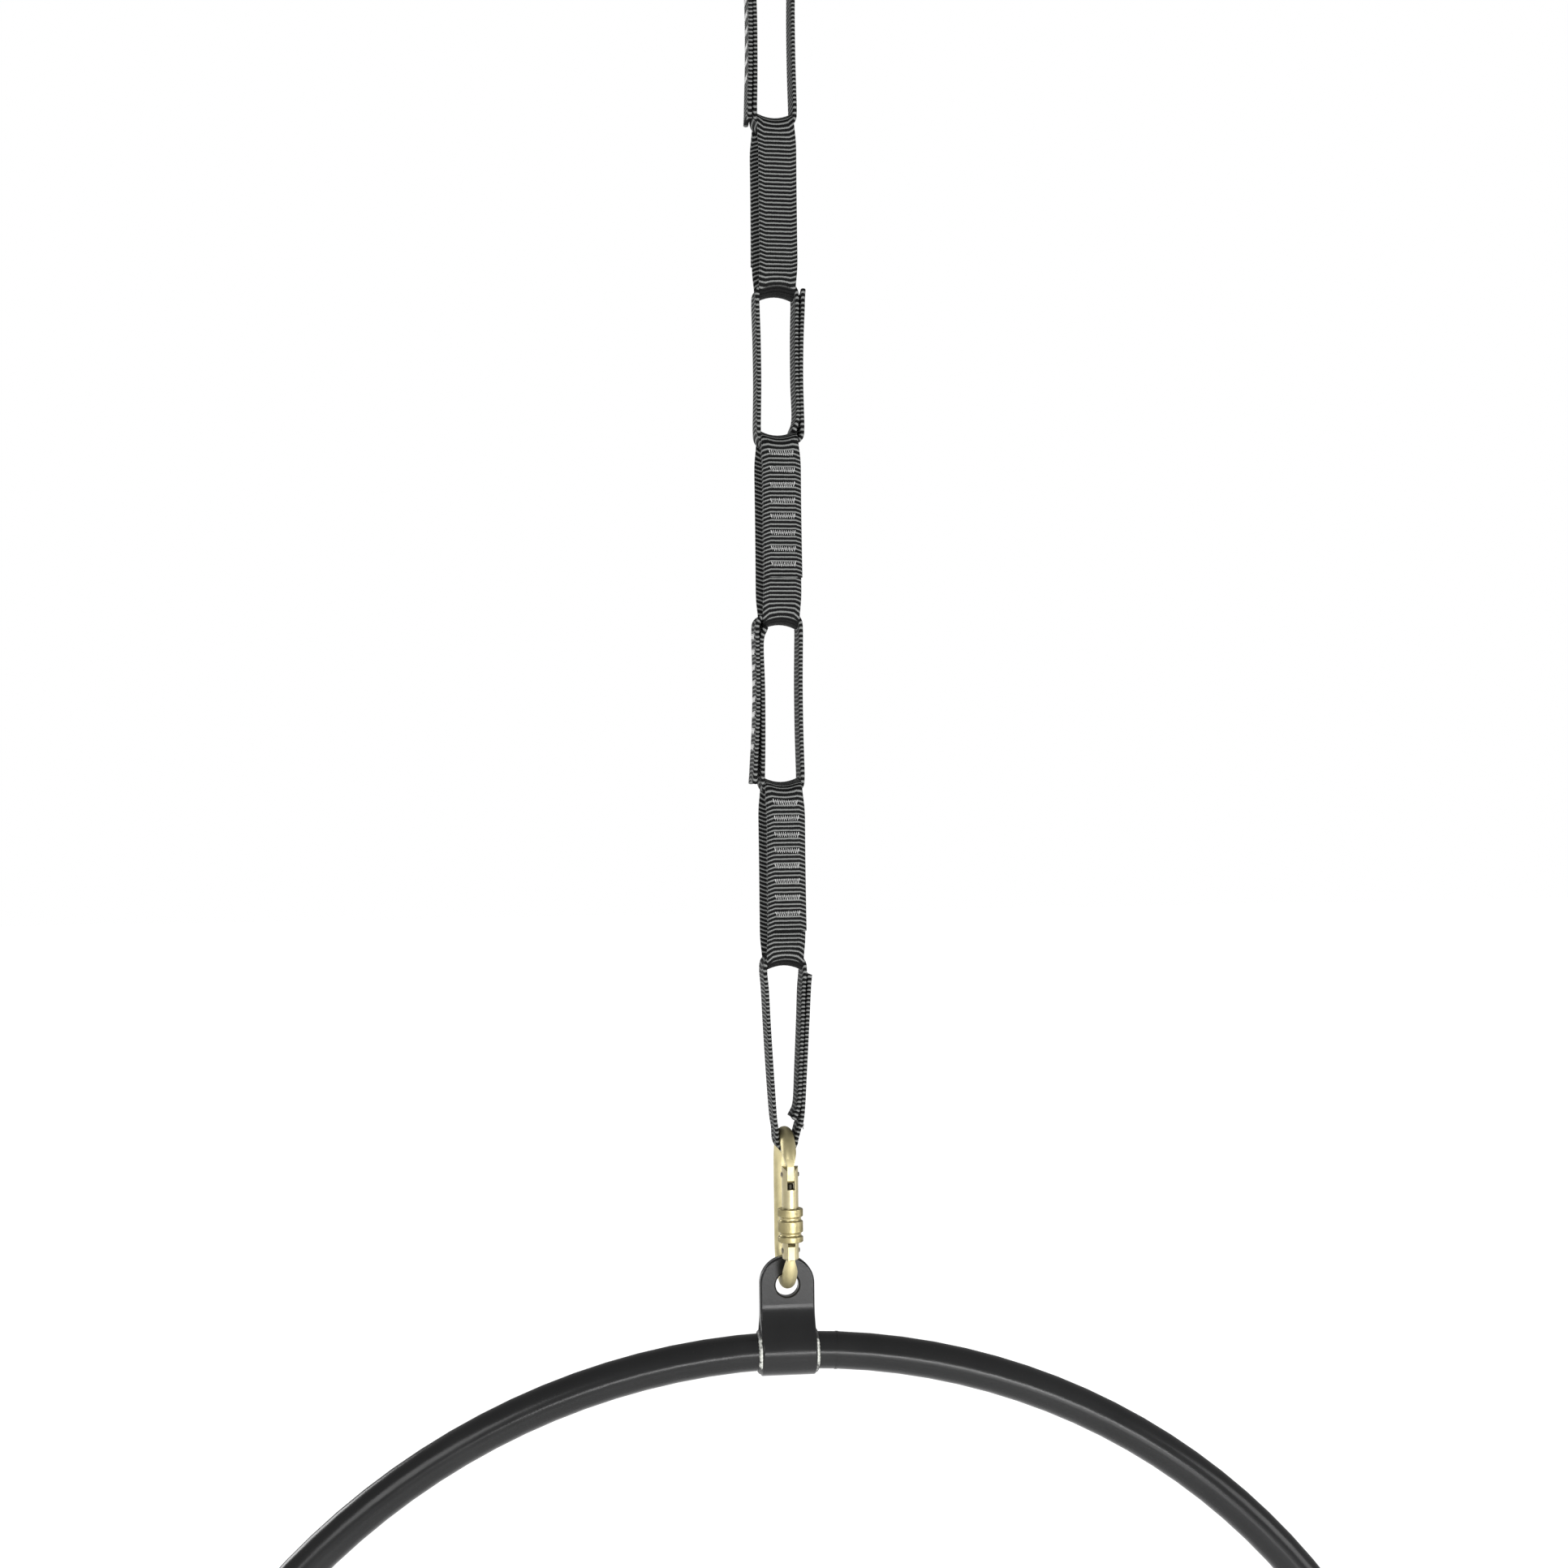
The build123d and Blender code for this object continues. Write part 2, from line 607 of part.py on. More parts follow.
# ---- Swivel -----------------------------------------------------------------------
def eye(thickness, rounding):
    """A round eye with its hole along X, centred on the origin."""
    ring = bar("X", upper_eye_radius, thickness, (0, 0, 0))
    ring -= bar("X", eye_hole_radius, 2 * thickness, (0, 0, 0))
    return fillet(ring.edges().filter_by(GeomType.CIRCLE), rounding)


def swivel_housing():
    radius = housing_diameter / 2
    middle = -housing_top - housing_length / 2
    barrel = bar("Z", radius, housing_length, (0, 0, middle))
    barrel = fillet(barrel.edges().group_by(Axis.Z)[-1], housing_rounding)
    neck_half = upper_eye_thickness / 2 - upper_eye_rounding / 2
    neck_side = housing_diameter / 2 - housing_rounding
    neck = block((-neck_half, -neck_side, -housing_top - neck_drop),
                 (neck_half, neck_side, -eye_hole_radius - eye_ring_width / 2))
    neck -= bar("X", eye_hole_radius + eye_ring_width / 3, 2 * upper_eye_thickness, (0, 0, 0))
    body = eye(upper_eye_thickness, upper_eye_rounding) + barrel + neck
    cavity = bar("Z", cavity_diameter / 2, cavity_depth, (0, 0, housing_bottom + cavity_depth / 2))
    return body - cavity


def swivel_cap():
    inner = shaft_diameter / 2 + cap_bore_clearance
    spigot = cavity_diameter / 2 - cap_clearance
    flange = housing_diameter / 2
    points = [(inner, cap_bottom), (flange - cap_edge, cap_bottom), (flange, cap_bottom + cap_edge),
              (flange, housing_bottom), (spigot, housing_bottom), (spigot, lower_race_bottom),
              (inner, lower_race_bottom)]
    return turned_profile(points)


def race(bottom, inner):
    outer = cavity_diameter / 2 - race_clearance
    top = bottom + race_thickness
    ring = turned_profile([(inner, bottom), (outer, bottom), (outer, top), (inner, top)])
    groove_radius = ball_diameter / 2 + ball_groove_clearance
    return ring - Pos(0, 0, ball_centre) * Torus(ball_circle_diameter / 2, groove_radius)


def swivel_balls():
    balls = []
    for index in range(ball_count):
        angle = 2 * math.pi * index / ball_count
        x = ball_circle_diameter / 2 * math.cos(angle)
        y = ball_circle_diameter / 2 * math.sin(angle)
        balls.append(Pos(x, y, ball_centre) * Sphere(ball_diameter / 2))
    return Compound(children=balls)


def swivel_nut():
    hexagon = RegularPolygon(nut_across_flats / 2, 6, major_radius=False)
    nut = Pos(0, 0, nut_bottom) * extrude(hexagon, nut_height)
    return nut - bar("Z", shaft_diameter / 2 + pin_press_clearance, 4 * nut_height, (0, 0, nut_bottom))


def swivel_shaft_eye():
    shaft_top = nut_bottom + nut_height + shaft_stub
    shaft_bottom = lower_eye_centre + eye_hole_radius + shaft_bond
    shaft = bar("Z", shaft_diameter / 2, shaft_top - shaft_bottom, (0, 0, (shaft_top + shaft_bottom) / 2))
    low = lower_eye_centre + eye_hole_radius + eye_ring_width / 2
    shoulder = bar("Z", shoulder_diameter / 2, shoulder_top - low, (0, 0, (shoulder_top + low) / 2))
    shoulder = chamfer(shoulder.edges().filter_by(GeomType.CIRCLE), shoulder_edge)
    ring = Pos(0, 0, lower_eye_centre) * eye(lower_eye_thickness, lower_eye_rounding)
    return shaft + shoulder + ring


# ---- Write every piece ------------------------------------------------------------
def export_carabiner(name, place):
    pieces = {
        "frame": carabiner_frame(),
        "gate": gate(),
        "hinge_pin": rivet(hinge_pin_diameter, hinge_height),
        "latch_pin": rivet(latch_pin_diameter, latch_height),
        "sleeve": lock_sleeve(),
        "spring": gate_spring(),
        "plunger": spring_plunger(),
    }
    for piece, shape in pieces.items():
        export_step(place * shape, "parts/" + name + "_" + piece + ".step")


def export_rest():
    pieces = {
        "hoop_tube": hoop_tube(),
        "hoop_butt_weld": hoop_butt_weld(),
        "hoop_joint_sleeve": hoop_joint_sleeve(),
        "hanger_strap": hanger_strap(),
        "hanger_welds": hanger_welds(),
        "swivel_housing": swivel_housing(),
        "swivel_cap": swivel_cap(),
        "swivel_lower_race": race(lower_race_bottom, shaft_diameter / 2 + cap_bore_clearance),
        "swivel_upper_race": race(upper_race_bottom, shaft_diameter / 2 + shaft_clearance),
        "swivel_balls": swivel_balls(),
        "swivel_nut": swivel_nut(),
        "swivel_shaft_eye": swivel_shaft_eye(),
    }
    for name, shape in pieces.items():
        export_step(shape, "parts/" + name + ".step")


export_rest()
export_carabiner("upper_carabiner", UPPER_CARABINER)
export_carabiner("lower_carabiner", LOWER_CARABINER)
export_links()
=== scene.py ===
import bpy
import math
import random
from mathutils import Matrix, Vector


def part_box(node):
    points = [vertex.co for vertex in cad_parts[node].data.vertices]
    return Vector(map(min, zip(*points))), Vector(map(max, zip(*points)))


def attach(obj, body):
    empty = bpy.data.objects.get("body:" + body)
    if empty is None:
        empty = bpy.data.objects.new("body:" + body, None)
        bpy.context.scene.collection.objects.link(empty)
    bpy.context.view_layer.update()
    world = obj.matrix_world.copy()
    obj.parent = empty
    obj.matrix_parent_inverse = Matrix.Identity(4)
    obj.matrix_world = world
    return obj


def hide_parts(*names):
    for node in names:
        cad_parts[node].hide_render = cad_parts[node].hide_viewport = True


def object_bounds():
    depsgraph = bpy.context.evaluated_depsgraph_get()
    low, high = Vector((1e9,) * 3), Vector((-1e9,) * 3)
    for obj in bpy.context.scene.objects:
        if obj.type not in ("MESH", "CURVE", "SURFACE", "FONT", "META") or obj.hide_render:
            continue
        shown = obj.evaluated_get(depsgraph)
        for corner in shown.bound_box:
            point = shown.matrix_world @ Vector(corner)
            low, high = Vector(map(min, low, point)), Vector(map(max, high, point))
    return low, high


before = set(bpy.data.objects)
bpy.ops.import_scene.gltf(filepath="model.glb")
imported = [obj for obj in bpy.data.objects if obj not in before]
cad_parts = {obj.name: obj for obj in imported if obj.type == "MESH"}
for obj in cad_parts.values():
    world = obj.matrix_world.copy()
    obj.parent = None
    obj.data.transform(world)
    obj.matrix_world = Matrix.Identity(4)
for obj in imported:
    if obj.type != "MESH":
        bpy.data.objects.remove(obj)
cad_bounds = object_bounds()

MM = 0.001
LINKS = 8

# ---- Sizes of the soft and knurled pieces, metres ----------------------------------
STRAP_WIDTH = 25.8 * MM
STRAP_THICKNESS = 2.6 * MM
RIB_PITCH = 2.75 * MM
RIB_DEPTH = 0.17 * MM
RINGS_PER_RIB = 4
CURL_RADIUS = 25.0 * MM
CURL_REACH = 15.0 * MM           # how far from a web the curl dies out along the legs
WEB_GAP = 0.2 * MM               # between two linked webs
CAD_WEB_GAP = 0.8 * MM
CAD_WEB_THICKNESS = 2.7 * MM
CAD_WEB_WIDTH = 23.4 * MM        # the CAD link's narrowed ends
ROD_RADIUS = 5.0 * MM
ARC_RADIUS = 23.25 * MM
ROD_GAP = 0.25 * MM              # strap's inner face from a carabiner rod
LEG_AT_WEBS = 13.4 * MM          # leg's middle layer from the loop's centre line
LEG_AT_WAIST = 12.7 * MM
LEG_AT_RODS = 6.9 * MM
ROD_LOOP_BULGE = 0.6             # a loop on a rod swells by this share of the others' waist
LEG_END = 20.0 * MM              # the legs' bends are over this far from a web
LEG_SHARES = (0.4, 0.65)         # guide points along a leg, as shares of the loop's length
LAYER_GAP = 0.1 * MM             # between two sewn layers
INNER_TAIL_START = 7.0 * MM      # the inner cut end's distance from its root web
INNER_TAIL_START_AT_ROD = 17.0 * MM
INNER_TAIL_RUN = 9.0 * MM
INNER_TAIL_FLARE = 3.0 * MM      # the cut end inside a loop stands off the leg
OUTER_TAIL_FLARE = {6: 2.8 * MM, 4: 1.6 * MM}
PLAIN_TAIL_FLARE = 1.0 * MM
OUTER_TAIL_REACH = (95, 112, 94, 98, 94, 108, 97, 112)   # mm from the root web, links 1 to 8
WEB_SHADE_EDGE = 3.0 * MM
WEB_SHADE_BLUR = 0.8 * MM
ROD_CURL_REACH = 34.0 * MM       # how far from a rod the strap's cupping dies out
ROD_CURL_FULL = 2.0 * MM
ROD_NARROWING = 0.12             # share of the width lost round a rod, and in a web
WEB_NARROWING = 0.05
LINK_TWIST = math.radians(4.5)   # the broadside loops hang a little turned between their webs
TWIST_RUN = 22.0 * MM
TUBE_RADIUS = 12.5 * MM
HANGER_HALF_WIDTH = 18.5 * MM
HOOP_RADIUS = 462.5 * MM

TACKS = 8
TACK_START = 10.9                # millimetres from the root web to the first tack
TACK_PITCH = 10.6
TACK_WIDTH = 16.4 * MM
TACK_HEIGHT = 3.4 * MM
TACK_TEETH = 11
THREAD_RADIUS = 0.34 * MM
THREAD_LIFT = 0.25 * MM

SLEEVE_BANDS = ((4.1, 8.4, True), (2.4, 7.2, False), (7.8, 8.35, True),
                (2.6, 7.2, False), (5.5, 8.4, True))     # mm: height, radius, knurled
SLEEVE_HEIGHT = 22.4             # millimetres, the bands together
SLEEVE_BORE = ((SLEEVE_HEIGHT, 5.6), (6.9, 5.6), (6.0, 6.35), (0.0, 6.35))   # mm: height, radius
KNURL_TEETH = 50
KNURL_DEPTH = 0.20 * MM

FLOOR_GLOW = 0.72                # lifts the paper floor to the background's white
FLOOR_HALF = 30.0
FLOOR_DROP = 0.25                # below the hoop's lowest point
WORLD_GLOW = 0.42                # what the white room sheds on the object
BACKDROP_GLOW = 1.0              # what the camera sees behind it


# ---- Shader helpers ----------------------------------------------------------------
class Shader:
    """A node material being built, with short calls for the nodes used here."""

    def __init__(self, name):
        self.material = bpy.data.materials.new(name)
        self.material.use_nodes = True
        self.nodes = self.material.node_tree.nodes
        self.links = self.material.node_tree.links
        self.bsdf = self.nodes["Principled BSDF"]

    def node(self, kind, **settings):
        made = self.nodes.new(kind)
        for key, value in settings.items():
            setattr(made, key, value)
        return made

    def join(self, source, target):
        self.links.new(source, target)

    def position(self):
        return self.node("ShaderNodeTexCoord").outputs["Object"]

    def noise(self, scale, detail=3.0, roughness=0.55, vector=None):
        made = self.node("ShaderNodeTexNoise")
        made.inputs["Scale"].default_value = scale
        made.inputs["Detail"].default_value = detail
        made.inputs["Roughness"].default_value = roughness
        self.join(vector or self.position(), made.inputs["Vector"])
        return made.outputs["Fac"]

    def stretched(self, scale):
        mapping = self.node("ShaderNodeMapping")
        mapping.inputs["Scale"].default_value = scale
        self.join(self.position(), mapping.inputs["Vector"])
        return mapping.outputs["Vector"]

    def ramp(self, fac, stops):
        made = self.node("ShaderNodeValToRGB")
        elements = made.color_ramp.elements
        while len(elements) < len(stops):
            elements.new(0.5)
        for element, (place, colour) in zip(elements, stops):
            element.position = place
            element.color = (*colour, 1.0)
        self.join(fac, made.inputs["Fac"])
        return made.outputs["Color"]

    def grey_ramp(self, fac, low, high, start=0.3, end=0.7):
        return self.ramp(fac, [(start, (low,) * 3), (end, (high,) * 3)])

    def mix(self, fac, first, second):
        made = self.node("ShaderNodeMix", data_type="RGBA")
        self.join(fac, made.inputs["Factor"])
        self.join(first, made.inputs["A"])
        self.join(second, made.inputs["B"])
        return made.outputs["Result"]

    def math(self, operation, first, second=None):
        made = self.node("ShaderNodeMath", operation=operation)
        for socket, value in zip(made.inputs, (first, second)):
            if value is None:
                continue
            if isinstance(value, (int, float)):
                socket.default_value = value
            else:
                self.join(value, socket)
        return made.outputs["Value"]

    def bump(self, height, strength, distance):
        made = self.node("ShaderNodeBump")
        made.inputs["Strength"].default_value = strength
        made.inputs["Distance"].default_value = distance
        self.join(height, made.inputs["Height"])
        self.join(made.outputs["Normal"], self.bsdf.inputs["Normal"])


def black_coat():
    """Satin black powder coat: orange peel, faint handling marks, slightly greyer wear."""
    s = Shader("satin_black_powder_coat")
    cloud = s.noise(14.0, 5.0)
    tone = s.ramp(cloud, [(0.3, (0.0095, 0.0096, 0.0098)), (0.7, (0.0135, 0.0136, 0.0138))])
    speck = s.grey_ramp(s.noise(900.0, 2.0), 0.0, 1.0, 0.70, 0.78)
    pale = s.ramp(cloud, [(0.0, (0.02, 0.02, 0.02)), (1.0, (0.03, 0.03, 0.03))])
    s.join(s.mix(speck, tone, pale), s.bsdf.inputs["Base Color"])
    s.join(s.grey_ramp(s.noise(45.0, 4.0), 0.19, 0.26), s.bsdf.inputs["Roughness"])
    s.bsdf.inputs["Specular IOR Level"].default_value = 0.16
    s.bump(s.noise(700.0, 2.0), 0.25, 0.00012)
    return s.material


def weld_metal():
    """Weld bead: patches of bright bare metal at its front, blackened elsewhere."""
    s = Shader("weld_bead")
    place = s.node("ShaderNodeSeparateXYZ")
    s.join(s.position(), place.inputs["Vector"])
    front = s.math("MULTIPLY", place.outputs["Y"], -0.5 / TUBE_RADIUS)
    patch = s.math("ADD", front, s.math("MULTIPLY", s.noise(160.0, 3.0), 0.9))
    mask = s.grey_ramp(patch, 0.0, 1.0, 0.90, 0.98)
    dark = s.ramp(s.noise(500.0), [(0.3, (0.02, 0.02, 0.02)), (0.7, (0.06, 0.06, 0.058))])
    bright = s.ramp(s.noise(700.0), [(0.3, (0.36, 0.37, 0.34)), (0.7, (0.62, 0.63, 0.58))])
    s.join(s.mix(mask, dark, bright), s.bsdf.inputs["Base Color"])
    s.join(s.grey_ramp(s.noise(400.0), 0.35, 0.6), s.bsdf.inputs["Roughness"])
    s.bsdf.inputs["Metallic"].default_value = 0.35
    s.bump(s.noise(1500.0, 4.0), 0.5, 0.0002)
    return s.material


def plated_steel(name, dark, light, rough, stretch, streak=60.0):
    """Yellow zinc on steel: cloudy plating with fine drawing or turning lines."""
    s = Shader(name)
    cloud = s.noise(90.0, 4.0)
    s.join(s.ramp(cloud, [(0.25, dark), (0.75, light)]), s.bsdf.inputs["Base Color"])
    lines = s.noise(streak, 2.0, 0.6, s.stretched(stretch))
    s.join(s.grey_ramp(lines, rough[0], rough[1]), s.bsdf.inputs["Roughness"])
    s.bsdf.inputs["Metallic"].default_value = 1.0
    s.bump(lines, 0.08, 0.00005)
    return s.material


def dark_anodised():
    s = Shader("dark_anodised_aluminium")
    s.join(s.ramp(s.noise(60.0, 3.0), [(0.3, (0.035, 0.036, 0.04)), (0.7, (0.06, 0.061, 0.066))]),
           s.bsdf.inputs["Base Color"])
    s.join(s.grey_ramp(s.noise(600.0, 2.0), 0.28, 0.4), s.bsdf.inputs["Roughness"])
    s.bsdf.inputs["Metallic"].default_value = 0.85
    s.bump(s.noise(1800.0, 2.0), 0.1, 0.00005)
    return s.material


def webbing_fabric():
    """Black tubular webbing: painted highlight on the rib crests, painted shade in the grooves and on the
    webs at the loops' ends.
    """
    s = Shader("black_ribbed_webbing")
    uv = s.node("ShaderNodeUVMap", uv_map="strap").outputs["UV"]
    split = s.node("ShaderNodeSeparateXYZ")
    s.join(uv, split.inputs["Vector"])
    wobble = s.math("MULTIPLY", s.noise(260.0, 2.0), 0.9)
    turn = s.math("ADD", s.math("MULTIPLY", split.outputs["X"], 2 * math.pi), wobble)
    crest = s.math("ADD", s.math("MULTIPLY", s.math("SINE", turn), 0.5), 0.5)
    yarn = s.math("SINE", s.math("MULTIPLY", split.outputs["Y"], 150.0))
    height = s.math("ADD", crest, s.math("MULTIPLY", yarn, 0.10))
    fuzz = s.math("ADD", height, s.math("MULTIPLY", s.noise(1500.0, 3.0), 0.35))
    # Near-black webbing with a painted highlight on the rib crests and painted shade in the grooves.
    painted_rib_light_colour = s.ramp(fuzz, [(0.44, (0.0008, 0.0008, 0.0010)), (0.84, (0.0065, 0.0068, 0.0068)),
                             (1.0, (0.15, 0.154, 0.15))])
    # Painted shade on the loops' end webs, weighted by the web attribute that Loop.web_shade fills.
    painted_web_shade_colour = s.ramp(fuzz, [(0.3, (0.001, 0.001, 0.0012)), (0.9, (0.006, 0.006, 0.006))])
    web = s.node("ShaderNodeAttribute", attribute_name="web").outputs["Fac"]
    s.join(s.mix(web, painted_rib_light_colour, painted_web_shade_colour), s.bsdf.inputs["Base Color"])
    s.join(s.grey_ramp(s.noise(800.0), 0.62, 0.85), s.bsdf.inputs["Roughness"])
    s.bsdf.inputs["Specular IOR Level"].default_value = 0.12
    s.bump(height, 0.7, 0.00022)
    return s.material


def thread_fabric():
    s = Shader("stitch_thread")
    s.join(s.ramp(s.noise(2500.0, 2.0), [(0.3, (0.42, 0.42, 0.42)), (0.7, (0.75, 0.75, 0.74))]),
           s.bsdf.inputs["Base Color"])
    s.join(s.grey_ramp(s.noise(900.0), 0.45, 0.6), s.bsdf.inputs["Roughness"])
    s.bump(s.noise(3000.0, 2.0), 0.3, 0.0001)
    return s.material


def floor_paint():
    """White seamless paper, lifted a little so that it melts into the background."""
    s = Shader("pale_floor")
    s.join(s.ramp(s.noise(3.0, 2.0), [(0.3, (0.93, 0.93, 0.93)), (0.7, (0.95, 0.95, 0.95))]),
           s.bsdf.inputs["Base Color"])
    s.join(s.grey_ramp(s.noise(20.0), 0.85, 0.95), s.bsdf.inputs["Roughness"])
    s.bsdf.inputs["Specular IOR Level"].default_value = 0.0
    s.bsdf.inputs["Emission Color"].default_value = (1.0, 1.0, 1.0, 1.0)
    s.bsdf.inputs["Emission Strength"].default_value = FLOOR_GLOW
    return s.material


COAT = black_coat()
WELD = weld_metal()
FRAME_ZINC = plated_steel("yellow_zinc_rod", dark=(0.42, 0.37, 0.205), light=(0.56, 0.50, 0.295),
                          rough=(0.44, 0.56), stretch=(40, 40, 4))
GATE_ZINC = plated_steel("yellow_zinc_gate", dark=(0.37, 0.325, 0.19), light=(0.48, 0.43, 0.275),
                         rough=(0.30, 0.40), stretch=(4, 4, 60))
KNURL_ZINC = plated_steel("yellow_zinc_knurl", dark=(0.27, 0.23, 0.115), light=(0.39, 0.34, 0.185),
                          rough=(0.28, 0.40), stretch=(20, 20, 20))
PIN_STEEL = plated_steel("dull_rivet_steel", dark=(0.10, 0.09, 0.07), light=(0.22, 0.20, 0.15),
                         rough=(0.35, 0.5), stretch=(20, 20, 20))
# Near-black steel for the plunger and spring: painted shade of the dark slot they sit in.
SLOT_SHADE_STEEL = plated_steel("steel_darkened_as_painted_shade", dark=(0.03, 0.028, 0.022), light=(0.06, 0.055, 0.045),
                          rough=(0.4, 0.55), stretch=(20, 20, 20))
BRIGHT_STEEL = plated_steel("bright_steel", dark=(0.52, 0.52, 0.53), light=(0.68, 0.68, 0.69),
                            rough=(0.14, 0.24), stretch=(10, 10, 50))
ANODISED = dark_anodised()
WEBBING = webbing_fabric()
THREAD = thread_fabric()


# ---- Finishes of the CAD nodes that stay in view -------------------------------------
def finish_node(node, material):
    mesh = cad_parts[node].data
    mesh.materials.clear()
    mesh.materials.append(material)


def finish_cad_nodes():
    for name in ("hoop_tube", "hanger_strap", "hoop_butt_weld"):
        finish_node(name, COAT)
    finish_node("hoop_joint_sleeve", BRIGHT_STEEL)
    for side in ("upper", "lower"):
        finish_node(side + "_carabiner_frame", FRAME_ZINC)
        finish_node(side + "_carabiner_gate", GATE_ZINC)
        for pin in ("_carabiner_hinge_pin", "_carabiner_latch_pin"):
            finish_node(side + pin, PIN_STEEL)
        # Plunger and spring take the steel darkened as painted shade of the gate's slot.
        for inner in ("_carabiner_spring", "_carabiner_plunger"):
            finish_node(side + inner, SLOT_SHADE_STEEL)
    for name in ("swivel_housing", "swivel_cap"):
        finish_node(name, ANODISED)
    for name in ("swivel_shaft_eye", "swivel_nut", "swivel_upper_race", "swivel_lower_race", "swivel_balls"):
        finish_node(name, BRIGHT_STEEL)


# ---- Mesh helpers ------------------------------------------------------------------
def grid_mesh(name, rows, closed_rows, caps, uv=None):
    """Rings of points joined into a surface; rows may close on the first, and ends may be capped."""
    count = len(rows[0])
    points = [point for row in rows for point in row]
    faces = []
    last = len(rows) if closed_rows else len(rows) - 1
    for i in range(last):
        base = i * count
        following = ((i + 1) % len(rows)) * count
        for j in range(count):
            k = (j + 1) % count
            faces.append((base + j, base + k, following + k, following + j))
    if caps:
        faces.append(tuple(reversed(range(count))))
        end = (len(rows) - 1) * count
        faces.append(tuple(end + j for j in range(count)))
    mesh = bpy.data.meshes.new(name)
    mesh.from_pydata(points, [], faces)
    if uv:
        layer = mesh.uv_layers.new(name="strap")
        for loop in mesh.loops:
            layer.data[loop.index].uv = uv(loop.vertex_index // count, loop.vertex_index % count)
    for polygon in mesh.polygons:
        polygon.use_smooth = True
    mesh.validate()
    piece = bpy.data.objects.new(name, mesh)
    bpy.context.scene.collection.objects.link(piece)
    return piece


def smooth_curve(controls, step):
    """Catmull-Rom through the control points, then points spaced evenly along it."""
    dense = []
    padded = [2 * controls[0] - controls[1]] + controls + [2 * controls[-1] - controls[-2]]
    for i in range(1, len(padded) - 2):
        p0, p1, p2, p3 = padded[i - 1:i + 3]
        for part in range(24):
            t = part / 24
            dense.append(0.5 * (2 * p1 + (p2 - p0) * t + (2 * p0 - 5 * p1 + 4 * p2 - p3) * t * t
                                + (3 * p1 - p0 - 3 * p2 + p3) * t ** 3))
    dense.append(controls[-1])
    lengths = [0.0]
    for a, b in zip(dense, dense[1:]):
        lengths.append(lengths[-1] + (b - a).length)
    count = max(2, round(lengths[-1] / step))
    points = []
    index = 0
    for i in range(count + 1):
        target = lengths[-1] * i / count
        while index < len(dense) - 2 and lengths[index + 1] < target:
            index += 1
        span = max(lengths[index + 1] - lengths[index], 1e-9)
        points.append(dense[index].lerp(dense[index + 1], (target - lengths[index]) / span))
    return points


def smoothstep(low, high, value):
    t = min(1.0, max(0.0, (value - low) / (high - low)))
    return t * t * (3 - 2 * t)


# ---- Webbing links -----------------------------------------------------------------
def curl_flare():
    """How far the CAD link's curled corners stand past its web's inner crown and thickness."""
    half = CAD_WEB_WIDTH / 2
    outer = CURL_RADIUS - CAD_WEB_THICKNESS
    return outer - math.sqrt(outer * outer - half * half)


CURL_FLARE = curl_flare()


def strap_section():
    """A flattened tube: (across, through) in metres, as a closed ring."""
    half = STRAP_WIDTH / 2
    thick = STRAP_THICKNESS / 2
    flat = half - thick
    ring = []
    steps = 9
    for i in range(steps):
        ring.append((-flat + 2 * flat * i / (steps - 1), thick))
    for angle in (45, 0, -45):
        turn = math.radians(angle)
        ring.append((flat + thick * math.cos(turn), thick * math.sin(turn)))
    for i in range(steps):
        ring.append((flat - 2 * flat * i / (steps - 1), -thick))
    for angle in (225, 180, 135):
        turn = math.radians(angle)
        ring.append((-flat + thick * math.cos(turn), thick * math.sin(turn)))
    return ring


